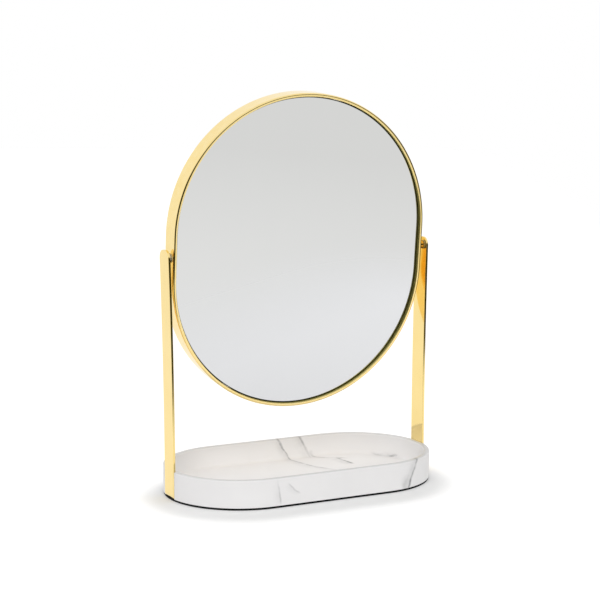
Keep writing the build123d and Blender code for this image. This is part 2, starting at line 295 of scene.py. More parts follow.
def carried_round(path, normals, profile, wear, closed_profile=False):
    """A profile of (distance outwards, height) carried round a level path.

    A point is the path's point plus its normal times the distance, at the profile's height.
    """
    level = path[:, None, :] + normals[:, None, :] * profile[None, :, :1]
    height = np.broadcast_to(profile[None, :, 1:], level.shape[:2] + (1,))
    points = np.concatenate([level, height], axis=-1)
    return Surface(points, True, closed_profile, np.broadcast_to(wear, points.shape[:2]))


def turned_about_pivot(profile, wear, closed_profile=True):
    """A profile of (place along X, radius) turned about the pivot.

    A point is (x, setback + r cos, pivot height + r sin).
    """
    angle = np.linspace(0, 2 * math.pi, TURN_STEPS, endpoint=False)[:, None]
    along, radius = profile[None, :, 0], profile[None, :, 1]
    back = PIVOT_SETBACK + radius * np.cos(angle)
    height = PIVOT_HEIGHT + radius * np.sin(angle)
    points = np.stack(np.broadcast_arrays(along, back, height), axis=-1)
    return Surface(points, True, closed_profile, np.broadcast_to(wear, points.shape[:2]))


def on_glass_axes(surface):
    """Puts a surface drawn across, up and out of the glass at the pivot, leaning as the mirror does at rest.

    Up and out are turned by the tilt: back is -sin * up - cos * out, and height is cos * up - sin * out.
    """
    across, up, out = np.moveaxis(surface.points, -1, 0)
    sine, cosine = math.sin(TILT), math.cos(TILT)
    back = PIVOT_SETBACK - sine * up - cosine * out
    height = PIVOT_HEIGHT + cosine * up - sine * out
    return surface._replace(points=np.stack([across, back, height], axis=-1))


def left_hand(surface):
    """The left-hand twin: x changes sign, and the rows run the other way to keep the faces outwards."""
    points = surface.points[::-1] * np.array([-1.0, 1.0, 1.0])
    return surface._replace(points=points, wear=surface.wear[::-1])


def grid_faces(rows, columns, rows_close, columns_close):
    """Four-sided faces between neighbouring rows and columns of a grid numbered row by row."""
    row = np.arange(rows if rows_close else rows - 1)[:, None]
    column = np.arange(columns if columns_close else columns - 1)[None, :]
    next_row = (row + 1) % rows
    next_column = (column + 1) % columns
    corners = [
        row * columns + column,
        row * columns + next_column,
        next_row * columns + next_column,
        next_row * columns + column,
    ]
    return np.stack(np.broadcast_arrays(*corners), axis=-1).reshape(-1, 4)


def cap_faces(rows, columns, rows_close, columns_close):
    """One flat face over each open end of a grid that closes one way only."""
    number = np.arange(rows * columns).reshape(rows, columns)
    if rows_close and not columns_close:
        return [number[:, 0].tolist(), number[::-1, -1].tolist()]
    if columns_close and not rows_close:
        return [number[0, ::-1].tolist(), number[-1].tolist()]
    return []


def strip_lengths(points, rows_close, columns_close):
    """A UV map: for every corner of every grid face, metres along the rows and along the columns."""
    rows, columns = points.shape[:2]

    def running(line):
        return np.concatenate([[0.0], np.cumsum(np.linalg.norm(np.diff(line, axis=0), axis=-1))])

    along_rows = running(np.concatenate([points[:, columns // 2], points[:1, columns // 2]]))
    along_columns = running(np.concatenate([points[rows // 2], points[rows // 2, :1]]))
    row = np.arange(rows if rows_close else rows - 1)[:, None]
    column = np.arange(columns if columns_close else columns - 1)[None, :]
    u = np.broadcast_arrays(along_rows[row], column)[0]
    next_u = np.broadcast_arrays(along_rows[row + 1], column)[0]
    v = np.broadcast_arrays(along_columns[column], row)[0]
    next_v = np.broadcast_arrays(along_columns[column + 1], row)[0]
    corners = [(u, v), (u, next_v), (next_u, next_v), (next_u, v)]
    return np.stack([np.stack(corner, axis=-1) for corner in corners], axis=2).reshape(-1, 2)


def surface_object(name, surfaces):
    """Joins surfaces into one mesh object, with doubled points merged and the mask of edge wear and painted light
    and the strip map kept.
    """
    vertices, quads, caps, wear, strip = [], [], [], [], []
    count = 0
    for points, rows_close, columns_close, surface_wear_and_painted_light in surfaces:
        rows, columns = points.shape[:2]
        quads.append(grid_faces(rows, columns, rows_close, columns_close) + count)
        ends = cap_faces(rows, columns, rows_close, columns_close)
        caps += [[index + count for index in end] for end in ends]
        vertices.append(points.reshape(-1, 3))
        wear.append(surface_wear_and_painted_light.reshape(-1))
        strip.append(strip_lengths(points, rows_close, columns_close))
        count += rows * columns
    quads = np.concatenate(quads)
    mesh = bpy.data.meshes.new(name)
    mesh.from_pydata(np.concatenate(vertices).tolist(), [], quads.tolist() + caps)
    mesh.polygons.foreach_set("use_smooth", [True] * len(quads) + [False] * len(caps))
    edge_wear_and_painted_light = mesh.attributes.new("edge_wear_and_painted_light", "FLOAT", "POINT")
    edge_wear_and_painted_light.data.foreach_set("value", np.concatenate(wear))
    strip = np.concatenate(strip + [np.zeros((sum(map(len, caps)), 2))])
    mesh.uv_layers.new(name="strip").data.foreach_set("uv", strip.reshape(-1))
    merged = bmesh.new()
    merged.from_mesh(mesh)
    bmesh.ops.remove_doubles(merged, verts=merged.verts, dist=MERGE_DISTANCE)
    bmesh.ops.dissolve_degenerate(merged, edges=merged.edges, dist=MERGE_DISTANCE)
    merged.to_mesh(mesh)
    merged.free()
    piece = bpy.data.objects.new(name, mesh)
    bpy.context.scene.collection.objects.link(piece)
    return piece


def drill(piece, cutters):
    """Takes closed surfaces out of a piece for good, and leaves nothing of the cutters behind."""
    tool = surface_object("drill", cutters)
    hole = piece.modifiers.new("hole", "BOOLEAN")
    hole.object = tool
    drilled = piece.evaluated_get(bpy.context.evaluated_depsgraph_get())
    solid = piece.data
    piece.data = bpy.data.meshes.new_from_object(drilled)
    piece.modifiers.clear()
    bpy.data.objects.remove(tool)
    bpy.data.meshes.remove(solid)


def dress(piece, finish, body, slot, *stands_for):
    """Gives a piece its finish and the body it rides on, and hides the CAD nodes it stands for; the slot is not
    used.
    """
    piece.data.set_sharp_from_angle(angle=SHARP_ANGLE)
    piece.data.materials.append(finish)
    flat_faces = piece.modifiers.new("flat_faces_stay_flat", "WEIGHTED_NORMAL")
    flat_faces.keep_sharp = True
    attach(piece, body)
    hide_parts(*stands_for)


def marble_tray():
    """The tray: floor, drafted inner wall, rounded rim and outer wall, carried round the base's outline.

    The mask is 1 on the rim, painted darker as shade, 0 on the outside, and -1 on the tray's floor, painted
    lighter for the light bounced inside the tray.
    """
    path, normals = pill_path(BASE_HALF_LENGTH, BASE_HALF_WIDTH, END_STEPS)
    corners = [
        (-FLAT_MIDDLE_INSET, FLOOR_HEIGHT),
        (-FLOOR_INSET, FLOOR_HEIGHT),
        (-RIM_WIDTH, TRAY_TOP),
        (0, TRAY_TOP),
        (0, TRAY_BOTTOM),
        (-FLAT_MIDDLE_INSET, TRAY_BOTTOM),
    ]
    radii = [0, FLOOR_RADIUS, RIM_INNER_RADIUS, RIM_OUTER_RADIUS, TRAY_FOOT_RADIUS, 0]
    profile, _ = rounded_line(corners, radii)
    wear = np.where(profile[:, 1] > TRAY_TOP - RIM_OUTER_RADIUS / 2, 1.0, 0.0)
    wear[:CORNER_STEPS + 2] = -1
    return carried_round(path, normals, profile, wear)


def post_slot():
    """The room that the right-hand post takes out of the tray.

    It is the outline of the foot and of the upright, as seen from the front and open to the outside, carried
    straight across the slot's width.
    """
    foot_top = TRAY_BOTTOM + POST_THICKNESS
    back_of_slot = POST_FACE - POST_THICKNESS
    outside = POST_FACE + RIM_WIDTH
    above = TRAY_TOP + RIM_WIDTH
    profile = np.array([
        (POST_FOOT_TIP, 0),
        (POST_FOOT_TIP, foot_top),
        (back_of_slot, foot_top),
        (back_of_slot, above),
        (outside, above),
        (outside, 0),
    ])
    across = np.array([[-SLOT_HALF_WIDTH], [SLOT_HALF_WIDTH]])
    points = np.stack(np.broadcast_arrays(profile[None, :, 0], across, profile[None, :, 1]), axis=-1)
    return Surface(points, False, True, np.zeros(points.shape[:2]))


def foam_pad():
    """The pad: a flat pill with softly rounded edges under the tray."""
    path, normals = pill_path(BASE_HALF_LENGTH - PAD_INSET, BASE_HALF_WIDTH - PAD_INSET, END_STEPS)
    corners = [(-FLOOR_INSET, TRAY_BOTTOM), (0, TRAY_BOTTOM), (0, 0), (-FLOOR_INSET, 0)]
    profile, wear = rounded_line(corners, [0, PAD_EDGE_RADIUS, PAD_EDGE_RADIUS, 0])
    return carried_round(path, normals, profile, wear)


def gold_post():
    """The right-hand post: a rounded strip section carried along foot, bend, upright and bow.

    The outer face's line is a level run, a quarter circle, a plumb run and a large arc that leans outwards.
    In the top stretch the half width follows the corner arc: it is less by r - sqrt(r * r - h * h) at a
    height h above the arc's start. The last rings draw in by the edge radius.
    """
    bend_start = POST_FACE - POST_BEND_RADIUS
    bow_radius = (POST_RISE**2 + POST_BOW**2) / (2 * POST_BOW)
    bow_length = bow_radius * math.asin(POST_RISE / bow_radius)
    bend = np.linspace(-math.pi / 2, 0, CORNER_STEPS + 1)
    corner = np.linspace(0, math.asin(1 - POST_EDGE_RADIUS / POST_TOP_RADIUS), 2 * CORNER_STEPS)
    easing = np.linspace(0, math.pi / 2, CORNER_STEPS)[1:]
    bow = np.concatenate([
        np.linspace(0, bow_length - POST_TOP_RADIUS, BOW_STEPS)[:-1],
        bow_length - POST_TOP_RADIUS * (1 - np.sin(corner)),
        bow_length - POST_EDGE_RADIUS * (1 - np.sin(easing)),
    ])
    lean = bow / bow_radius
    line_x = np.concatenate([
        [POST_FOOT_TIP],
        bend_start + POST_BEND_RADIUS * np.cos(bend),
        POST_FACE + bow_radius * (1 - np.cos(lean)),
    ])
    line_z = np.concatenate([
        [TRAY_BOTTOM],
        TRAY_BOTTOM + POST_BEND_RADIUS * (1 + np.sin(bend)),
        TRAY_TOP + bow_radius * np.sin(lean),
    ])
    normal_x = np.concatenate([[0.0], np.cos(bend), np.cos(lean)])
    normal_z = np.concatenate([[-1.0], np.sin(bend), -np.sin(lean)])
    into_corner = np.clip((bow - bow_length + POST_TOP_RADIUS) / POST_TOP_RADIUS, 0, 1)
    drawn_in = POST_TOP_RADIUS * (1 - np.sqrt(1 - into_corner**2))
    half_width = np.full(len(line_x), POST_HALF_WIDTH)
    half_width[-len(bow):] -= drawn_in
    eased = np.zeros(len(line_x))
    eased[-len(easing):] = POST_EDGE_RADIUS * (1 - np.cos(easing))

    spoke = np.linspace(0, math.pi / 2, CORNER_STEPS + 1)
    turn = np.concatenate([spoke + quarter * math.pi / 2 for quarter in range(4)])
    side = np.repeat([-1.0, 1.0, 1.0, -1.0], CORNER_STEPS + 1)
    face = np.repeat([1.0, 1.0, -1.0, -1.0], CORNER_STEPS + 1)
    radius = (POST_EDGE_RADIUS - eased)[:, None]
    across = side * (half_width[:, None] - POST_EDGE_RADIUS) - radius * np.cos(turn)
    depth = face * (POST_THICKNESS / 2 - POST_EDGE_RADIUS) + radius * np.sin(turn) - POST_THICKNESS / 2
    points = np.stack([
        line_x[:, None] + normal_x[:, None] * depth,
        across,
        line_z[:, None] + normal_z[:, None] * depth,
    ], axis=-1)
    return Surface(points, False, True, np.zeros(points.shape[:2]))


def gold_band():
    """The band: a thin strip section with rounded edges carried round the mirror's pill outline.

    The mask is -1 on the inside beside the glass, which is painted dark there as shade in the gap beside the
    glass.
    """
    path, normals = pill_path(BAND_HALF_HEIGHT, BAND_HALF_WIDTH, BAND_END_STEPS)
    inside = -BAND_THICKNESS
    painted_shade_top = BAND_FRONT - 2 * BAND_INNER_RADIUS
    corners = [
        (0, BAND_FRONT),
        (0, BAND_BACK),
        (inside, BAND_BACK),
        (inside, GLASS_BACK),
        (inside, painted_shade_top),
        (inside, BAND_FRONT),
    ]
    radii = [BAND_OUTER_RADIUS, BAND_OUTER_RADIUS, BAND_INNER_RADIUS, 0, 0, BAND_INNER_RADIUS]
    profile, wear = rounded_line(corners, radii, closed=True)
    # Painted shade: the inside wall beside the glass is marked -1, to be coloured dark olive and made rougher
    dull_and_painted_shade = (profile == (inside, GLASS_BACK)) | (profile == (inside, painted_shade_top))
    wear[dull_and_painted_shade.all(axis=1)] = -1
    strip = carried_round(path @ UPRIGHT, normals @ UPRIGHT, profile, wear, closed_profile=True)
    return on_glass_axes(strip)


def silvered_glass():
    """The glass: a flat pane with a narrow ground chamfer round its front edge."""
    half_height = BAND_HALF_HEIGHT - GLASS_INSET
    half_width = BAND_HALF_WIDTH - GLASS_INSET
    path, normals = pill_path(half_height, half_width, BAND_END_STEPS)
    corners = [
        (-GLASS_MIDDLE_INSET, GLASS_FRONT),
        (-GLASS_CHAMFER, GLASS_FRONT),
        (0, GLASS_FRONT - GLASS_CHAMFER),
        (0, GLASS_BACK),
        (-GLASS_MIDDLE_INSET, GLASS_BACK),
    ]
    profile, wear = rounded_line(corners, [0, GLASS_ARRIS, GLASS_ARRIS, GLASS_ARRIS, 0])
    return on_glass_axes(carried_round(path @ UPRIGHT, normals @ UPRIGHT, profile, wear))


def cover_screw_heads():
    """Four domed heads on the back cover, each with a cross cut into it.

    A head's height over radius r is a sphere cap's, sqrt(R * R - r * r) less the cap's base, and the cross
    takes its depth times a soft step off it, within the cross's half width of one axis and half length of the
    other.
    """
    cap_radius = (SCREW_HEAD_RADIUS**2 + SCREW_HEAD_HEIGHT**2) / (2 * SCREW_HEAD_HEIGHT)
    angle = np.linspace(0, 2 * math.pi, 2 * TURN_STEPS, endpoint=False)[:, None]
    radius = SCREW_HEAD_RADIUS * np.linspace(1, SCREW_HEAD_MIDDLE, SCREW_HEAD_RINGS)[None, :]
    dome = np.sqrt(cap_radius**2 - radius**2) - (cap_radius - SCREW_HEAD_HEIGHT)
    x, y = radius * np.cos(angle), radius * np.sin(angle)

    def soft_step(distance, reach):
        return np.clip((reach - np.abs(distance)) / SCREW_SLOT_SLOPE, 0, 1)

    one_way = soft_step(y, SCREW_SLOT_WIDTH / 2) * soft_step(x, SCREW_SLOT_LENGTH)
    other_way = soft_step(x, SCREW_SLOT_WIDTH / 2) * soft_step(y, SCREW_SLOT_LENGTH)
    height = dome - SCREW_SLOT_DEPTH * np.maximum(one_way, other_way)
    arc_centre = BAND_HALF_HEIGHT - BAND_HALF_WIDTH
    reach = (BAND_HALF_WIDTH - BAND_THICKNESS - SCREW_INSET) * math.cos(math.pi / 4)
    heads = []
    for side, level in ((1, 1), (-1, 1), (-1, -1), (1, -1)):
        centre_x, centre_y = side * reach, level * (arc_centre + reach)
        points = np.stack([centre_x + x, centre_y + y, COVER_BACK - height], axis=-1)
        heads.append(on_glass_axes(Surface(points, True, False, np.zeros(points.shape[:2]))))
    return heads


def friction_washer():
    """The nylon washer between a post's collar and the band: a ring with rounded rims."""
    corners = [
        (WASHER_OUTER_FACE, WASHER_RADIUS),
        (WASHER_INNER_FACE, WASHER_RADIUS),
        (WASHER_INNER_FACE, WASHER_BORE),
        (WASHER_OUTER_FACE, WASHER_BORE),
    ]
    radii = [WASHER_EDGE_RADIUS] * 2 + [WASHER_BORE_EDGE_RADIUS] * 2
    profile, wear = rounded_line(corners, radii, closed=True)
    return turned_about_pivot(profile, wear)


def pivot_stud():
    """The stud: a collar that runs into the post and a shank through the bush, turned about the pivot."""
    corners = [
        (COLLAR_END, COLLAR_RADIUS),
        (WASHER_OUTER_FACE, COLLAR_RADIUS),
        (WASHER_OUTER_FACE, STUD_RADIUS),
        (STUD_END, STUD_RADIUS),
        (STUD_END, STUD_RADIUS - 2 * COLLAR_EDGE_RADIUS),
    ]
    radii = [0, COLLAR_EDGE_RADIUS, COLLAR_ROOT_RADIUS, COLLAR_EDGE_RADIUS, 0]
    profile, wear = rounded_line(corners, radii)
    return turned_about_pivot(profile, wear, closed_profile=False)


def bush_hole():
    """A rod through both sides of the band, where the bushes sit."""
    profile = np.array([(2 * BAND_HALF_WIDTH, BUSH_RADIUS), (-2 * BAND_HALF_WIDTH, BUSH_RADIUS)])
    return turned_about_pivot(profile, np.zeros(2), closed_profile=False)


def feed(material, sockets, values):
    """Gives each socket its value, or joins it to the output that the value is."""
    for socket, value in zip(sockets, values):
        if isinstance(value, bpy.types.NodeSocket):
            material.node_tree.links.new(value, socket)
        else:
            socket.default_value = value


def add(material, kind, inputs=None, **settings):
    """Adds a node, with its settings and its inputs given as values or as other nodes' outputs."""
    node = material.node_tree.nodes.new(kind)
    for name, value in settings.items():
        setattr(node, name, value)
    inputs = inputs or {}
    feed(material, [node.inputs[name] for name in inputs], inputs.values())
    return node


def new_finish(name, **constants):
    """A material with one shader, whose constant sockets are set directly; returns it and its shader."""
    material = bpy.data.materials.new(name)
    material.use_nodes = True
    shader = material.node_tree.nodes["Principled BSDF"]
    for socket, value in constants.items():
        shader.inputs[socket.replace("_", " ")].default_value = value
    return material, shader


def place(material):
    """Where on the object: metres in the shared frame."""
    return add(material, "ShaderNodeTexCoord").outputs["Object"]


def stretched(material, at, scale):
    """The place with each axis multiplied by its own scale."""
    return add(material, "ShaderNodeMapping", {"Vector": at, "Scale": scale}).outputs["Vector"]


def noise(material, at, scale, detail=3.0, roughness=0.5):
    """Soft noise from 0 to 1; scale is in cycles to the metre."""
    inputs = {"Vector": at, "Scale": scale, "Detail": detail, "Roughness": roughness}
    return add(material, "ShaderNodeTexNoise", inputs).outputs["Fac"]


def fit(material, value, low, high, to_low=0.0, to_high=1.0, smooth=False):
    """Carries a range of values to another range, held at its ends."""
    inputs = {"Value": value, "From Min": low, "From Max": high, "To Min": to_low, "To Max": to_high}
    kind = "SMOOTHSTEP" if smooth else "LINEAR"
    return add(material, "ShaderNodeMapRange", inputs, interpolation_type=kind).outputs["Result"]


def wear_and_painted_light_of(material):
    """The mask of edge wear and painted light and shade that the piece's mesh carries at each point."""
    return add(material, "ShaderNodeAttribute", attribute_name="edge_wear_and_painted_light").outputs["Fac"]


def combine(material, operation, *numbers):
    """Arithmetic on one or two numbers."""
    node = add(material, "ShaderNodeMath", operation=operation)
    feed(material, node.inputs, numbers)
    return node.outputs[0]


def combine_vectors(material, operation, *vectors):
    """The same for vectors; a dot product or a length comes out as a number."""
    node = add(material, "ShaderNodeVectorMath", operation=operation)
    feed(material, node.inputs, vectors)
    return node.outputs["Value" if operation in ("DOT_PRODUCT", "LENGTH") else "Vector"]


def blend_colours(material, amount, first, second):
    """Goes from one colour to another with the amount, from 0 to 1."""
    node = add(material, "ShaderNodeMix", data_type="RGBA")
    feed(material, (node.inputs[0], node.inputs[6], node.inputs[7]), (amount, first, second))
    return node.outputs[2]


def raise_surface(material, shader, height, distance):
    """Bump: the height, from 0 to 1, stands for that distance in metres."""
    bump = add(material, "ShaderNodeBump", {"Height": height, "Distance": distance, "Strength": 1.0})
    material.node_tree.links.new(bump.outputs["Normal"], shader.inputs["Normal"])


def join(material, value, shader, socket):
    """Joins an output to a shader's socket."""
    material.node_tree.links.new(value, shader.inputs[socket])


def gold_plate_finish():
    """Polished gold plate on rolled strip: faint lines along the strip, a slow wave and paler rubbed edges.

    Where the mask is -1, on the band's inside beside the glass, it is rougher and painted dark olive as shade.
    """
    gold, shader = new_finish("gold_plate", Metallic=1.0)
    at = place(gold)
    strip = add(gold, "ShaderNodeUVMap", uv_map="strip").outputs["UV"]
    lines = noise(gold, stretched(gold, strip, (25.0, 5200.0, 1.0)), 1.0, detail=2.0)
    cloud = noise(gold, at, 35.0, detail=4.0)
    smear = noise(gold, at, 160.0, detail=5.0)
    wave = noise(gold, at, 22.0, detail=1.0)
    edge = wear_and_painted_light_of(gold)
    rubbed = combine(gold, "MULTIPLY", edge, fit(gold, smear, 0.42, 0.66, 0.0, 0.4))
    body = blend_colours(gold, fit(gold, cloud, 0.35, 0.65), GOLD_DEEP, GOLD_LIGHT)
    plate = blend_colours(gold, rubbed, body, GOLD_RUBBED)
    # Painted shade: the band's inside beside the glass is blended towards dark olive
    painted_shade_inside = fit(gold, edge, 0.0, -1.0, 0.0, PAINTED_SHADE_SHARE)
    colour = blend_colours(gold, painted_shade_inside, plate, GOLD_PAINTED_SHADE)
    join(gold, colour, shader, "Base Color")
    haze = fit(gold, smear, 0.3, 0.75, 0.05, 0.10)
    dull = combine(gold, "ADD", haze, fit(gold, lines, 0.4, 0.8, 0.0, 0.05))
    dull_and_painted_shade = fit(gold, edge, 0.0, -1.0, 0.0, UNPOLISHED_ROUGHNESS)
    join(gold, combine(gold, "MAXIMUM", dull, dull_and_painted_shade), shader, "Roughness")
    height = combine(gold, "ADD", wave, combine(gold, "MULTIPLY", lines, 0.02))
    raise_surface(gold, shader, height, 0.04 * MM)
    return gold


def turned_gold_finish():
    """Gold plate on a turned stud: fine rings across the pivot axis."""
    gold, shader = new_finish("turned_gold", Metallic=1.0)
    at = place(gold)
    rings = noise(gold, stretched(gold, at, (6000.0, 0.0, 0.0)), 1.0, detail=2.0)
    cloud = noise(gold, at, 300.0, detail=3.0)
    colour = blend_colours(gold, cloud, (0.88, 0.62, 0.24, 1), (0.95, 0.71, 0.32, 1))
    join(gold, colour, shader, "Base Color")
    join(gold, fit(gold, rings, 0.3, 0.7, 0.15, 0.3), shader, "Roughness")
    raise_surface(gold, shader, rings, 0.01 * MM)
    return gold


def marble_finish():
    """Cast marble effect: warm white, faint clouds and thin grey veins; painted lighter inside the tray for the
    light bounced there, and painted darker on the rim as shade.

    Each stretch of vein is a sheet through the body. The darkness falls off with the distance of the warped
    place from the sheet, quickly on one side and with a soft shade on the other, fades with the distance from
    the stretch's middle as a share of its reach, and is broken up along the way by noise.
    """
    marble, shader = new_finish("marble_resin", IOR=1.5)
    at = place(marble)
    bend = add(marble, "ShaderNodeTexNoise", {"Vector": at, "Scale": 35.0, "Detail": 4.0})
    warped = combine_vectors(marble, "MULTIPLY_ADD", bend.outputs["Color"], (VEIN_WARP,) * 3, at)
    broken = fit(marble, noise(marble, at, 110.0, detail=4.0), 0.36, 0.60, 0.35, 1.0)
    veins = None
    for middle, across, half_width, reach, darkness in VEINS:
        middle = np.array(middle) * MM
        reach = np.array(reach) * MM
        half_width = VEIN_WIDER * half_width * MM
        across = np.array(across) / np.linalg.norm(across)
        along = combine_vectors(marble, "DOT_PRODUCT", warped, across)
        off = combine(marble, "SUBTRACT", along, across @ (middle + VEIN_WARP / 2))
        distance = combine(marble, "ABSOLUTE", off)
        line = fit(marble, distance, 0.0, half_width, 1.0, 0.0, smooth=True)
        shade = fit(marble, off, -VEIN_SHADE * half_width, 0.0, 0.0, 0.3, smooth=True)
        one_side = fit(marble, off, 0.0, half_width, 1.0, 0.0)
        drawn = combine(marble, "MAXIMUM", line, combine(marble, "MULTIPLY", shade, one_side))
        from_middle = combine_vectors(marble, "SUBTRACT", at, middle)
        share = combine_vectors(marble, "LENGTH", combine_vectors(marble, "DIVIDE", from_middle, reach))
        near = fit(marble, share, 0.5, 1.0, darkness, 0.0, smooth=True)
        vein = combine(marble, "MULTIPLY", combine(marble, "MULTIPLY", drawn, broken), near)
        veins = vein if veins is None else combine(marble, "MAXIMUM", veins, vein)
    cloud = noise(marble, at, 11.0, detail=6.0, roughness=0.6)
    body = blend_colours(marble, fit(marble, cloud, 0.35, 0.68), MARBLE_WHITE, MARBLE_CLOUD)
    edge = wear_and_painted_light_of(marble)
    # Painted light and shade: the tray's floor is made lighter for the light bounced there, and the rim darker as
    # shade
    painted_light_inside = fit(marble, edge, -1.0, 0.0, MARBLE_PAINTED_LIGHT_INSIDE, 1.0)
    painted_shade_rim = fit(marble, edge, 0.5, 1.0, 1.0, MARBLE_PAINTED_SHADE_RIM)
    tone = combine(marble, "MULTIPLY", painted_light_inside, painted_shade_rim)
    toned = add(marble, "ShaderNodeVectorMath", {"Vector": body, "Scale": tone}, operation="SCALE")
    colour = blend_colours(marble, veins, toned.outputs["Vector"], MARBLE_VEIN)
    join(marble, colour, shader, "Base Color")
    join(marble, fit(marble, cloud, 0.35, 0.68, 0.30, 0.36), shader, "Roughness")
    grain = noise(marble, at, 1400.0, detail=2.0)
    raise_surface(marble, shader, grain, 0.01 * MM)
    return marble


def cells(material, at, scale):
    """Distance to the nearest of scattered points, 0 at a point; scale is in cells to the metre."""
    return add(material, "ShaderNodeTexVoronoi", {"Vector": at, "Scale": scale}).outputs["Distance"]


def black_foam_finish():
    """Fine closed-cell foam: small round cells, nearly black, with a dusty sheen."""
    foam, shader = new_finish("black_foam", Specular_IOR_Level=0.12)
    at = place(foam)
    cell = cells(foam, at, 2200.0)
    dust = noise(foam, at, 120.0, detail=4.0)
    wall = fit(foam, cell, 0.0, 0.7)
    body = blend_colours(foam, wall, (0.003, 0.003, 0.0035, 1), (0.010, 0.010, 0.011, 1))
    colour = blend_colours(foam, fit(foam, dust, 0.55, 0.8, 0.0, 0.15), body, (0.04, 0.04, 0.04, 1))
    join(foam, colour, shader, "Base Color")
    join(foam, fit(foam, dust, 0.3, 0.7, 0.78, 0.95), shader, "Roughness")
    raise_surface(foam, shader, cell, 0.08 * MM)
    return foam


def mirror_finish():
    """Silvered glass, with the faintest wiping marks in its polish and a dull ground edge painted near-black as
    shade beside the band.
    """
    silver, shader = new_finish("silvered_glass", Metallic=1.0)
    at = place(silver)
    wipe = noise(silver, stretched(silver, at, (40.0, 40.0, 9.0)), 1.0, detail=3.0)
    tint = blend_colours(silver, wipe, SILVER_COOL, SILVER_LIGHT)
    edge = wear_and_painted_light_of(silver)
    # Painted shade: the ground edge is blended to near-black, and made rougher
    ground_edge_and_shade = fit(silver, edge, 0.94, 1.0)
    join(silver, blend_colours(silver, ground_edge_and_shade, tint, GROUND_EDGE_PAINTED_SHADE), shader, "Base Color")
    polish = fit(silver, wipe, 0.45, 0.8, 0.0, 0.012)
    dull = fit(silver, ground_edge_and_shade, 0.0, 1.0, 0.0, GROUND_EDGE_ROUGHNESS)
    join(silver, combine(silver, "MAXIMUM", polish, dull), shader, "Roughness")
    return silver


def gold_paint_finish():
    """Satin gold paint on the pressed back cover: orange peel and a little flake."""
    paint, shader = new_finish("gold_paint", Metallic=0.9)
    at = place(paint)
    flake = cells(paint, at, 3500.0)
    patch = noise(paint, at, 25.0, detail=4.0)
    body = blend_colours(paint, fit(paint, patch, 0.3, 0.7), (0.70, 0.49, 0.20, 1), (0.78, 0.56, 0.25, 1))
    colour = blend_colours(paint, fit(paint, flake, 0.0, 0.5, 0.25, 0.0), body, (0.90, 0.72, 0.40, 1))
    join(paint, colour, shader, "Base Color")
    join(paint, fit(paint, patch, 0.3, 0.7, 0.34, 0.44), shader, "Roughness")
    raise_surface(paint, shader, noise(paint, at, 900.0, detail=2.0), 0.02 * MM)
    return paint


def nylon_finish():
    """Natural nylon: milky cream, softly shiny, with faint moulding mottle."""
    nylon, shader = new_finish("nylon", Subsurface_Weight=0.1, IOR=1.53)
    at = place(nylon)
    mottle = noise(nylon, at, 600.0, detail=4.0)
    colour = blend_colours(nylon, mottle, (0.80, 0.77, 0.69, 1), (0.87, 0.85, 0.79, 1))
    join(nylon, colour, shader, "Base Color")
    join(nylon, fit(nylon, mottle, 0.3, 0.7, 0.36, 0.5), shader, "Roughness")
    raise_surface(nylon, shader, mottle, 0.01 * MM)
    return nylon


def zinc_finish():
    """Bright zinc plate: small grey spangles with a warm cast here and there."""
    zinc, shader = new_finish("zinc_plate", Metallic=1.0)
    at = place(zinc)
    spangle = cells(zinc, at, 1500.0)
    cast = noise(zinc, at, 250.0, detail=3.0)
    body = blend_colours(zinc, fit(zinc, spangle, 0.1, 0.7), (0.58, 0.59, 0.61, 1), (0.70, 0.71, 0.72, 1))
    colour = blend_colours(zinc, fit(zinc, cast, 0.5, 0.8, 0.0, 0.5), body, (0.72, 0.68, 0.58, 1))
    join(zinc, colour, shader, "Base Color")
    join(zinc, fit(zinc, cast, 0.3, 0.7, 0.24, 0.4), shader, "Roughness")
    raise_surface(zinc, shader, spangle, 0.01 * MM)
    return zinc


def hardboard_finish():
    """Pressed fibre board: brown, with short tangled fibres."""
    board, shader = new_finish("hardboard")
    at = place(board)
    one_way = noise(board, stretched(board, at, (900.0, 250.0, 120.0)), 1.0, detail=4.0)
    other_way = noise(board, stretched(board, at, (150.0, 250.0, 800.0)), 1.0, detail=4.0)
    fibre = combine(board, "MAXIMUM", one_way, other_way)
    tangle = fit(board, fibre, 0.4, 0.75)
    colour = blend_colours(board, tangle, (0.17, 0.10, 0.055, 1), (0.33, 0.22, 0.13, 1))
    join(board, colour, shader, "Base Color")
    join(board, fit(board, fibre, 0.4, 0.75, 0.7, 0.9), shader, "Roughness")
    raise_surface(board, shader, fibre, 0.05 * MM)
    return board


def white_foam_finish():
    """Soft white foam tape: open cells over an uneven off-white."""
    foam, shader = new_finish("white_foam")
    at = place(foam)
    cell = cells(foam, at, 1800.0)
    colour = blend_colours(foam, fit(foam, cell, 0.0, 0.7), (0.62, 0.61, 0.58, 1), (0.80, 0.79, 0.76, 1))
    join(foam, colour, shader, "Base Color")
    join(foam, fit(foam, cell, 0.0, 0.7, 0.95, 0.85), shader, "Roughness")
    raise_surface(foam, shader, cell, 0.1 * MM)
    return foam


def floor_cover(material, at):
    """How much of the floor is there: 1, and fading to 0 in front and on the camera's right."""
    forwards = combine_vectors(material, "DOT_PRODUCT", at, TO_CAMERA)
    rightwards = combine_vectors(material, "DOT_PRODUCT", at, TO_RIGHT)
    in_front = fit(material, forwards, *FLOOR_FRONT_FADE, 1.0, 0.0, smooth=True)
    on_right = fit(material, rightwards, *FLOOR_RIGHT_FADE, 1.0, 0.0, smooth=True)
    return combine(material, "MULTIPLY", in_front, on_right)


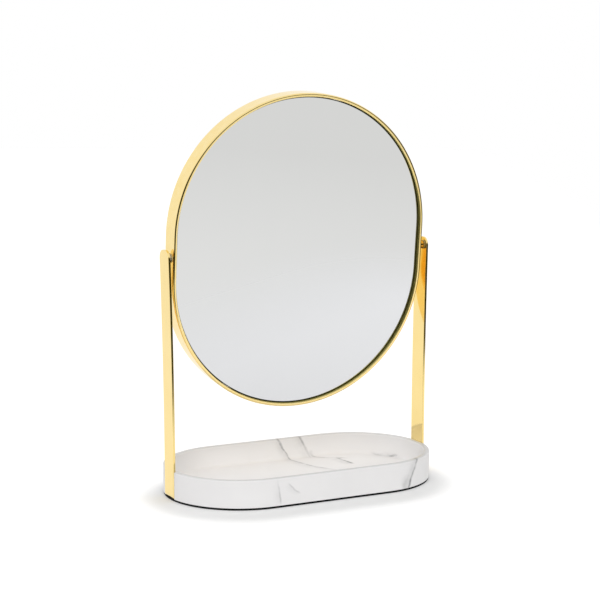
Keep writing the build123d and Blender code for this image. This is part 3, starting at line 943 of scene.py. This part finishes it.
def glow_round_base(material, at):
    """The floor's glow as seen, weaker in the soft shade round the base.

    It goes by the distance from the line between the centres of the base's two round ends.
    """
    shifted = combine_vectors(material, "SUBTRACT", at, SHADE_SHIFT)
    spot = add(material, "ShaderNodeSeparateXYZ", {"Vector": shifted}).outputs
    sideways = combine(material, "ABSOLUTE", spot["X"])
    beyond = combine(material, "SUBTRACT", sideways, BASE_HALF_LENGTH - BASE_HALF_WIDTH)
    past_end = combine(material, "MAXIMUM", beyond, 0.0)
    spoke = add(material, "ShaderNodeCombineXYZ", {"X": past_end, "Y": spot["Y"]}).outputs["Vector"]
    off_axis = combine_vectors(material, "LENGTH", spoke)
    reach = BASE_HALF_WIDTH + SHADE_REACH
    glows = (FLOOR_GLOW_SHADE, FLOOR_GLOW_SEEN)
    return fit(material, off_axis, BASE_HALF_WIDTH, reach, *glows, smooth=True)


def white_floor():
    """A white floor that fades out in front and on the camera's right."""
    near_edge = TO_CAMERA * FLOOR_FRONT_FADE[1]
    far_edge = -TO_CAMERA * FLOOR_FAR
    right_edge = TO_RIGHT * FLOOR_RIGHT_FADE[1]
    left_edge = -TO_RIGHT * FLOOR_SIDE
    corners = [
        near_edge + left_edge,
        near_edge + right_edge,
        far_edge + right_edge,
        far_edge + left_edge,
    ]
    mesh = bpy.data.meshes.new("floor")
    mesh.from_pydata([corner.tolist() for corner in corners], [], [(0, 1, 2, 3)])
    floor = bpy.data.objects.new("floor", mesh)
    bpy.context.scene.collection.objects.link(floor)
    paper, shader = new_finish("white_paper", Emission_Color=(1, 1, 1, 1))
    at = place(paper)
    fibre = noise(paper, at, 300.0, detail=3.0)
    colour = blend_colours(paper, fibre, (0.73, 0.73, 0.73, 1), (0.75, 0.75, 0.75, 1))
    join(paper, colour, shader, "Base Color")
    join(paper, fit(paper, fibre, 0.3, 0.7, 0.85, 0.95), shader, "Roughness")
    forwards = combine_vectors(paper, "DOT_PRODUCT", at, TO_CAMERA)
    mirrored = fit(paper, forwards, *FLOOR_FRONT_FADE, FLOOR_GLOW_BACK, FLOOR_GLOW_FRONT)
    ray = add(paper, "ShaderNodeLightPath").outputs
    in_metal = combine(paper, "MULTIPLY", ray["Is Glossy Ray"], mirrored)
    by_eye = combine(paper, "MULTIPLY", ray["Is Camera Ray"], glow_round_base(paper, at))
    join(paper, combine(paper, "ADD", in_metal, by_eye), shader, "Emission Strength")
    join(paper, floor_cover(paper, at), shader, "Alpha")
    mesh.materials.append(paper)


def area_light(name, size, power):
    """A round lamp of that width in metres and that power in watts."""
    light = bpy.data.lights.new(name, "AREA")
    light.shape = "DISK"
    light.size = size
    light.energy = power
    holder = bpy.data.objects.new(name, light)
    bpy.context.scene.collection.objects.link(holder)
    return holder


def soft_lights():
    """A large softbox and a weaker fill, both turned to the base and hidden from reflections."""
    softbox = area_light("front_softbox", SOFTBOX_SIZE, SOFTBOX_POWER)
    fill = area_light("right_fill", FILL_SIZE, FILL_POWER)
    for light, spot in ((softbox, SOFTBOX_PLACE), (fill, FILL_PLACE)):
        light.visible_glossy = False
        light.location = spot
        direction = mathutils.Vector(LIGHTS_AIM) - mathutils.Vector(spot)
        light.rotation_euler = direction.to_track_quat("-Z", "Y").to_euler()


def sky_and_room():
    """A bright sky over a room that is dark in front and on the right, where the camera doesn't see it."""
    world = bpy.data.worlds.new("studio")
    world.use_nodes = True
    bpy.context.scene.world = world
    sky = world.node_tree.nodes["Background"]
    way = add(world, "ShaderNodeTexCoord").outputs["Generated"]
    room_middle = math.cos(ROOM_AZIMUTH) * TO_CAMERA + math.sin(ROOM_AZIMUTH) * TO_RIGHT
    facing = combine_vectors(world, "DOT_PRODUCT", way, room_middle)
    towards_room = fit(world, facing, *ROOM_EDGE, smooth=True)
    height = add(world, "ShaderNodeSeparateXYZ", {"Vector": way}).outputs["Z"]
    low_down = fit(world, height, *ROOM_HEIGHT, 1.0, 0.0, smooth=True)
    ray = add(world, "ShaderNodeLightPath").outputs
    unseen = fit(world, ray["Is Camera Ray"], 0.0, 1.0, 1.0, 0.0)
    room = combine(world, "MULTIPLY", combine(world, "MULTIPLY", towards_room, low_down), unseen)
    overhead = fit(world, height, *SKY_TOP_HEIGHT)
    white = blend_colours(world, overhead, (SKY_BRIGHT,) * 3 + (1,), (SKY_TOP,) * 3 + (1,))
    join(world, blend_colours(world, room, white, ROOM_COLOUR), sky, "Color")


def sheet_in_mirror(glass, band):
    """A pale sheet just over the floor that only the glass and the band show.

    It takes over smoothly where the floor fades out, gets evenly dimmer with the distance from the base, and
    is only as wide as the glass needs, so that the band's rounded edges show the dark room beside it. Its
    power is set so that a strength of 1 in its nodes is as bright as a white floor.
    """
    holder = area_light("sheet_in_mirror", 2 * SHEET_REACH, math.pi * math.pi * SHEET_REACH**2)
    holder.location = (0.0, 0.0, SHEET_LIFT)
    holder.rotation_euler = (math.pi, 0.0, 0.0)
    sheet = holder.data
    sheet.use_nodes = True
    spot = add(sheet, "ShaderNodeNewGeometry").outputs["Position"]
    takes_over = fit(sheet, floor_cover(sheet, spot), 0.0, 1.0, 1.0, 0.0)
    outwards = combine_vectors(sheet, "LENGTH", spot)
    glow = fit(sheet, outwards, *SHEET_DIMS, SHEET_NEAR, SHEET_FAR)
    crossways = (math.cos(CAMERA_YAW), math.sin(CAMERA_YAW), 0.0)
    beside = combine(sheet, "ABSOLUTE", combine_vectors(sheet, "DOT_PRODUCT", spot, crossways))
    inside = fit(sheet, beside, *SHEET_SIDE_FADE, 1.0, 0.0, smooth=True)
    strength = combine(sheet, "MULTIPLY", combine(sheet, "MULTIPLY", takes_over, glow), inside)
    join(sheet, strength, sheet.node_tree.nodes["Emission"], "Strength")
    only_mirror = bpy.data.collections.new("only_mirror")
    only_mirror.objects.link(glass)
    only_mirror.objects.link(band)
    holder.light_linking.receiver_collection = only_mirror


def camera():
    """The camera of the photograph, worked out from the base, the band and the posts."""
    lens = bpy.data.cameras.new("camera")
    lens.lens = CAMERA_LENS
    lens.sensor_width = CAMERA_SENSOR
    holder = bpy.data.objects.new("camera", lens)
    bpy.context.scene.collection.objects.link(holder)
    holder.location = CAMERA_PLACE
    holder.rotation_euler = (math.pi / 2 - CAMERA_PITCH, 0.0, -CAMERA_YAW)
    bpy.context.scene.camera = holder
    bpy.context.scene.view_settings.view_transform = "Standard"


gold = gold_plate_finish()
turned_gold = turned_gold_finish()
nylon = nylon_finish()
zinc = zinc_finish()
finishes = {
    "gold_paint": gold_paint_finish(),
    "foam_tape": white_foam_finish(),
    "board": hardboard_finish(),
    "nylon": nylon,
    "plated_steel": zinc,
}

tray = surface_object("marble_tray", [marble_tray()])
drill(tray, [post_slot(), left_hand(post_slot())])
dress(tray, marble_finish(), "stand", "marble_resin", "base_tray")
pad = surface_object("foam_pad", [foam_pad()])
dress(pad, black_foam_finish(), "stand", "black_pad", "base_pad")
for side, handed in (("right", lambda surface: surface), ("left", left_hand)):
    post = surface_object(side + "_gold_post", [handed(gold_post())])
    dress(post, gold, "stand", "gold_plate", side + "_post")
    stud = surface_object(side + "_turned_stud", [handed(pivot_stud())])
    dress(stud, turned_gold, "stand", "brass_stud", side + "_pivot_stud")
    washer = surface_object(side + "_nylon_washer", [handed(friction_washer())])
    dress(washer, nylon, "stand", "nylon", side + "_friction_washer")
band = surface_object("gold_band", [gold_band()])
drill(band, [bush_hole()])
dress(band, gold, "mirror", "gold_plate", "mirror_frame")
glass = surface_object("silvered_glass", [silvered_glass()])
dress(glass, mirror_finish(), "mirror", "mirror", "mirror_glass")
screws = surface_object("cover_screw_heads", cover_screw_heads())
dress(screws, zinc, "mirror", "plated_steel", "cover_screws")

for part in frame["record"]["subparts"]:
    node = frame["nodes"][part["node"]]
    if part["material_slot"] in finishes and not node.hide_render:
        node.data.materials.clear()
        node.data.materials.append(finishes[part["material_slot"]])

white_floor()
soft_lights()
sky_and_room()
sheet_in_mirror(glass, band)
camera()
